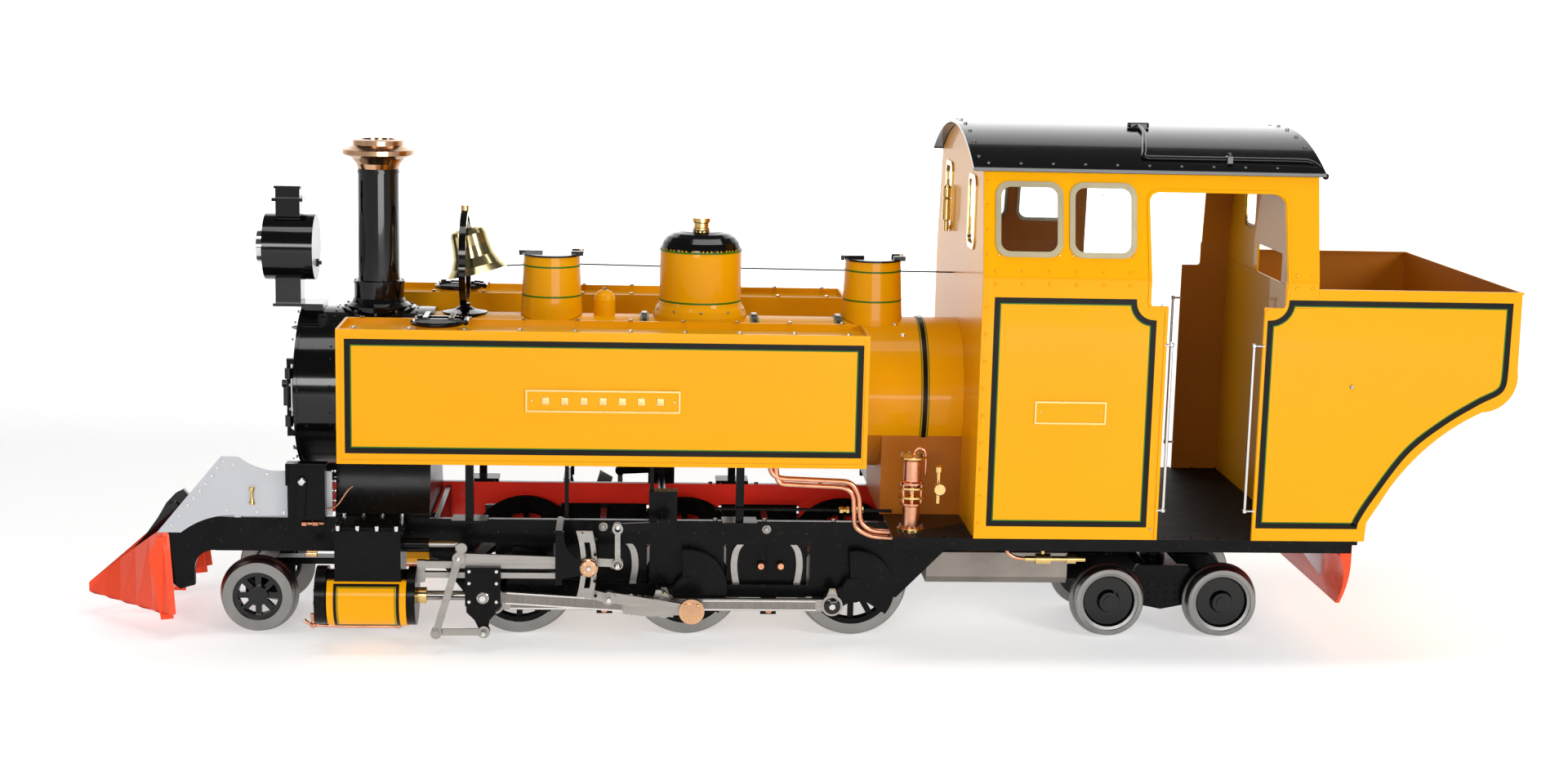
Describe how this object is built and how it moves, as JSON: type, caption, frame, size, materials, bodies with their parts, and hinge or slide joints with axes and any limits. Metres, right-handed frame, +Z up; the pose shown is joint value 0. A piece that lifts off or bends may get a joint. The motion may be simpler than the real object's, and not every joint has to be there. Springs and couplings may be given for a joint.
{
  "type": "model steam locomotive",
  "caption": "Narrow-gauge side-tank steam locomotive model with outside frames, rods and valve gear, rolling on rails and turning at every wheel, lid and lever.",
  "frame": {"origin": "middle of the overall length and width, on the level of the lowest point of the wheel flanges, 5 mm below the rail top", "axes": "+X towards the rear (bunker end), so the chimney end is at -X; +Y towards the engine's right-hand side; +Z up"},
  "size_m": [2.1231, 0.5154, 0.79],
  "materials": {
    "orange_paint": "gloss",
    "black_paint": "gloss",
    "red_paint": "gloss",
    "bright_steel": "satin",
    "sheet_alloy": "brushed",
    "wheel_metal": "turned tyres, black painted centres",
    "brass": "polished",
    "ashpan_grey": "satin",
    "clear_glass": "clear"
  },
  "bodies": {
    "chassis": {"bell_stand": "black_paint", "boiler": "orange_paint", "boiler_domes": "orange_paint", "brass_fittings": "brass", "bunker": "orange_paint", "cab_body": "orange_paint", "cab_roof": "black_paint", "chimney": "black_paint", "cowcatcher": "red_paint", "cylinder_lagging": "orange_paint", "cylinders": "black_paint", "firebox": "ashpan_grey", "footplate": "black_paint", "frame_plates": "black_paint", "frame_stretchers": "black_paint", "glass_panes": "clear_glass", "guide_bars": "bright_steel", "headlamp": "black_paint", "side_tanks": "orange_paint", "smokebox": "black_paint", "wing_plate": "sheet_alloy"},
    "driving_wheelset_1": {"driving_wheels_1": "wheel_metal"},
    "driving_wheelset_2": {"driving_wheels_2": "wheel_metal"},
    "driving_wheelset_3": {"driving_wheels_3": "wheel_metal"},
    "coupling_rod_left": {"coupling_rod_left": "bright_steel"},
    "crosshead_left": {"crosshead_left": "black_paint"},
    "connecting_rod_left": {"connecting_rod_left": "bright_steel"},
    "return_crank_left": {"return_crank_left": "bright_steel"},
    "expansion_link_left": {"expansion_link_left": "bright_steel"},
    "eccentric_rod_left": {"eccentric_rod_left": "bright_steel"},
    "combination_lever_left": {"combination_lever_left": "bright_steel"},
    "union_link_left": {"union_link_left": "bright_steel"},
    "valve_spindle_left": {"valve_spindle_left": "bright_steel"},
    "coupling_rod_right": {"coupling_rod_right": "bright_steel"},
    "crosshead_right": {"crosshead_right": "black_paint"},
    "connecting_rod_right": {"connecting_rod_right": "bright_steel"},
    "return_crank_right": {"return_crank_right": "bright_steel"},
    "expansion_link_right": {"expansion_link_right": "bright_steel"},
    "eccentric_rod_right": {"eccentric_rod_right": "bright_steel"},
    "combination_lever_right": {"combination_lever_right": "bright_steel"},
    "union_link_right": {"union_link_right": "bright_steel"},
    "valve_spindle_right": {"valve_spindle_right": "bright_steel"},
    "reverser_lever": {"reverser_lever": "bright_steel"},
    "reversing_shaft": {"reversing_shaft": "black_paint"},
    "lifting_links": {"lifting_links": "bright_steel"},
    "radius_rods": {"radius_rods": "bright_steel"},
    "pony_truck": {"pony_frame": "black_paint"},
    "pony_wheelset": {"pony_wheels": "wheel_metal"},
    "bogie": {"bogie_frame": "black_paint"},
    "bogie_wheelset_1": {"bogie_wheels_1": "wheel_metal"},
    "bogie_wheelset_2": {"bogie_wheels_2": "wheel_metal"},
    "bell": {"bell": "brass"},
    "smokebox_door": {"smokebox_door": "black_paint"},
    "tank_lid_left": {"tank_lid_left": "black_paint"},
    "tank_lid_right": {"tank_lid_right": "black_paint"},
    "sandbox_lid_1": {"sandbox_lid_1": "black_paint"},
    "sandbox_lid_2": {"sandbox_lid_2": "black_paint"},
    "fire_door": {"fire_door": "black_paint"},
    "regulator_handle": {"regulator_handle": "bright_steel"},
    "brake_handle": {"brake_handle": "black_paint"}
  },
  "joints": [
    {"name": "driving_axle_1_spin", "type": "hinge", "parent": "chassis", "child": "driving_wheelset_1", "pos_m": [-0.39615, 0, 0.087], "axis": [0, 1, 0], "continuous": true},
    {"name": "driving_axle_2_spin", "type": "hinge", "parent": "chassis", "child": "driving_wheelset_2", "pos_m": [-0.14415, 0, 0.087], "axis": [0, 1, 0], "continuous": true},
    {"name": "driving_axle_3_spin", "type": "hinge", "parent": "chassis", "child": "driving_wheelset_3", "pos_m": [0.10785, 0, 0.087], "axis": [0, 1, 0], "continuous": true},
    {"name": "coupling_rod_left_pin", "type": "hinge", "parent": "driving_wheelset_2", "child": "coupling_rod_left", "pos_m": [-0.17879, -0.1655, 0.067], "axis": [0, 1, 0], "continuous": true},
    {"name": "crosshead_left_slide", "type": "slide", "parent": "chassis", "child": "crosshead_left", "axis": [1, 0, 0], "range_m": [-0.00581, 0.0742]},
    {"name": "connecting_rod_left_swing", "type": "hinge", "parent": "crosshead_left", "child": "connecting_rod_left", "pos_m": [-0.44531, -0.184, 0.083], "axis": [0, 1, 0], "range_deg": [-12.92, 4.31]},
    {"name": "return_crank_left_spin", "type": "hinge", "parent": "connecting_rod_left", "child": "return_crank_left", "pos_m": [-0.17879, -0.1945, 0.067], "axis": [0, 1, 0], "continuous": true},
    {"name": "expansion_link_left_swing", "type": "hinge", "parent": "chassis", "child": "expansion_link_left", "pos_m": [-0.28955, -0.209, 0.1358], "axis": [0, 1, 0], "range_deg": [-18.09, 29.75]},
    {"name": "eccentric_rod_left_pin", "type": "hinge", "parent": "expansion_link_left", "child": "eccentric_rod_left", "pos_m": [-0.2601, -0.202, 0.08677], "axis": [0, 1, 0], "range_deg": [-29.75, 18.09]},
    {"name": "combination_lever_left_swing", "type": "hinge", "parent": "radius_rods", "child": "combination_lever_left", "pos_m": [-0.47955, -0.208, 0.1456], "axis": [0, 1, 0], "range_deg": [-35.95, 2.83]},
    {"name": "union_link_left_swing", "type": "hinge", "parent": "crosshead_left", "child": "union_link_left", "pos_m": [-0.44341, -0.201, 0.0324], "axis": [0, 1, 0], "range_deg": [-3.91, 2.21]},
    {"name": "valve_spindle_left_slide", "type": "slide", "parent": "chassis", "child": "valve_spindle_left", "axis": [1, 0, 0], "range_m": [-0.01011, 0.0008]},
    {"name": "coupling_rod_right_pin", "type": "hinge", "parent": "driving_wheelset_2", "child": "coupling_rod_right", "pos_m": [-0.16415, 0.1655, 0.12164], "axis": [0, 1, 0], "continuous": true},
    {"name": "crosshead_right_slide", "type": "slide", "parent": "chassis", "child": "crosshead_right", "axis": [1, 0, 0], "range_m": [-0.02278, 0.05722]},
    {"name": "connecting_rod_right_swing", "type": "hinge", "parent": "crosshead_right", "child": "connecting_rod_right", "pos_m": [-0.42834, 0.184, 0.083], "axis": [0, 1, 0], "range_deg": [-1.16, 16.07]},
    {"name": "return_crank_right_spin", "type": "hinge", "parent": "connecting_rod_right", "child": "return_crank_right", "pos_m": [-0.16415, 0.1945, 0.12164], "axis": [0, 1, 0], "continuous": true},
    {"name": "expansion_link_right_swing", "type": "hinge", "parent": "chassis", "child": "expansion_link_right", "pos_m": [-0.28955, 0.209, 0.1358], "axis": [0, 1, 0], "range_deg": [-47.16, 0.69]},
    {"name": "eccentric_rod_right_pin", "type": "hinge", "parent": "expansion_link_right", "child": "eccentric_rod_right", "pos_m": [-0.28762, 0.202, 0.07863], "axis": [0, 1, 0], "range_deg": [-0.69, 47.16]},
    {"name": "combination_lever_right_swing", "type": "hinge", "parent": "radius_rods", "child": "combination_lever_right", "pos_m": [-0.47955, 0.208, 0.1456], "axis": [0, 1, 0], "range_deg": [-27.73, 11.04]},
    {"name": "union_link_right_swing", "type": "hinge", "parent": "crosshead_right", "child": "union_link_right", "pos_m": [-0.42644, 0.201, 0.0324], "axis": [0, 1, 0], "range_deg": [-0.91, 5.2]},
    {"name": "valve_spindle_right_slide", "type": "slide", "parent": "chassis", "child": "valve_spindle_right", "axis": [1, 0, 0], "range_m": [-0.0078, 0.00311]},
    {"name": "reverser_lever_swing", "type": "hinge", "parent": "chassis", "child": "reverser_lever", "pos_m": [0.42945, 0.205, 0.285], "axis": [0, 1, 0], "range_deg": [-20, 20]},
    {"name": "reversing_shaft_turn", "type": "hinge", "parent": "chassis", "child": "reversing_shaft", "pos_m": [-0.18155, 0, 0.195], "axis": [0, 1, 0], "range_deg": [-12, 12]},
    {"name": "lifting_links_swing", "type": "hinge", "parent": "reversing_shaft", "child": "lifting_links", "pos_m": [-0.24825, 0, 0.1917], "axis": [0, 1, 0], "range_deg": [-12, 12]},
    {"name": "radius_rods_lift", "type": "hinge", "parent": "chassis", "child": "radius_rods", "pos_m": [-0.47955, 0, 0.1456], "axis": [0, 1, 0], "range_deg": [-3.46, 3.46]},
    {"name": "pony_truck_swing", "type": "hinge", "parent": "chassis", "child": "pony_truck", "pos_m": [-0.61955, 0, 0.09], "axis": [0, 0, 1], "range_deg": [-4, 4]},
    {"name": "pony_wheels_spin", "type": "hinge", "parent": "pony_truck", "child": "pony_wheelset", "pos_m": [-0.78705, 0, 0.059], "axis": [0, 1, 0], "continuous": true},
    {"name": "bogie_swing", "type": "hinge", "parent": "chassis", "child": "bogie", "pos_m": [0.59445, 0, 0.099], "axis": [0, 0, 1], "range_deg": [-5, 5]},
    {"name": "bogie_wheels_1_spin", "type": "hinge", "parent": "bogie", "child": "bogie_wheelset_1", "pos_m": [0.50645, 0, 0.0585], "axis": [0, 1, 0], "continuous": true},
    {"name": "bogie_wheels_2_spin", "type": "hinge", "parent": "bogie", "child": "bogie_wheelset_2", "pos_m": [0.68245, 0, 0.0585], "axis": [0, 1, 0], "continuous": true},
    {"name": "bell_swing", "type": "hinge", "parent": "chassis", "child": "bell", "pos_m": [-0.48555, 0, 0.616], "axis": [0, 1, 0], "range_deg": [-25, 25]},
    {"name": "smokebox_door_swing", "type": "hinge", "parent": "chassis", "child": "smokebox_door", "pos_m": [-0.73705, -0.104, 0.365], "axis": [0, 0, 1], "range_deg": [0, 95]},
    {"name": "tank_lid_left_open", "type": "hinge", "parent": "chassis", "child": "tank_lid_left", "pos_m": [-0.46855, -0.2, 0.4952], "axis": [0, 1, 0], "range_deg": [0, 105]},
    {"name": "tank_lid_right_open", "type": "hinge", "parent": "chassis", "child": "tank_lid_right", "pos_m": [-0.46855, 0.2, 0.4952], "axis": [0, 1, 0], "range_deg": [0, 105]},
    {"name": "sandbox_lid_1_open", "type": "hinge", "parent": "chassis", "child": "sandbox_lid_1", "pos_m": [-0.31015, 0, 0.5745], "axis": [0, 1, 0], "range_deg": [0, 95]},
    {"name": "sandbox_lid_2_open", "type": "hinge", "parent": "chassis", "child": "sandbox_lid_2", "pos_m": [0.18095, 0, 0.5745], "axis": [0, 1, 0], "range_deg": [0, 95]},
    {"name": "fire_door_swing", "type": "hinge", "parent": "chassis", "child": "fire_door", "pos_m": [0.33245, 0.044, 0.295], "axis": [0, 0, 1], "range_deg": [0, 100]},
    {"name": "regulator_turn", "type": "hinge", "parent": "chassis", "child": "regulator_handle", "pos_m": [0.35145, 0, 0.441], "axis": [1, 0, 0], "range_deg": [-25, 35]},
    {"name": "brake_handle_turn", "type": "hinge", "parent": "chassis", "child": "brake_handle", "pos_m": [0.37745, -0.222, 0.393], "axis": [0, 0, 1], "range_deg": [0, 330]}
  ],
  "couplings": [
    {"joint": "driving_axle_1_spin", "follows": "driving_axle_2_spin", "ratio": 1},
    {"joint": "driving_axle_3_spin", "follows": "driving_axle_2_spin", "ratio": 1},
    {"joint": "coupling_rod_left_pin", "follows": "driving_axle_2_spin", "ratio": -1},
    {"joint": "return_crank_left_spin", "follows": "driving_axle_2_spin", "ratio": 1},
    {"joint": "eccentric_rod_left_pin", "follows": "expansion_link_left_swing", "ratio": -1},
    {"joint": "combination_lever_left_swing", "follows": "crosshead_left_slide", "rad_per_m": -8.4531},
    {"joint": "valve_spindle_left_slide", "follows": "crosshead_left_slide", "ratio": -0.13609},
    {"joint": "coupling_rod_right_pin", "follows": "driving_axle_2_spin", "ratio": -1},
    {"joint": "return_crank_right_spin", "follows": "driving_axle_2_spin", "ratio": 1},
    {"joint": "eccentric_rod_right_pin", "follows": "expansion_link_right_swing", "ratio": -1},
    {"joint": "combination_lever_right_swing", "follows": "crosshead_right_slide", "rad_per_m": -8.4531},
    {"joint": "valve_spindle_right_slide", "follows": "crosshead_right_slide", "ratio": -0.13609},
    {"joint": "reversing_shaft_turn", "follows": "reverser_lever_swing", "ratio": 0.6},
    {"joint": "lifting_links_swing", "follows": "reverser_lever_swing", "ratio": -0.6},
    {"joint": "radius_rods_lift", "follows": "reverser_lever_swing", "ratio": -0.17257}
  ]
}
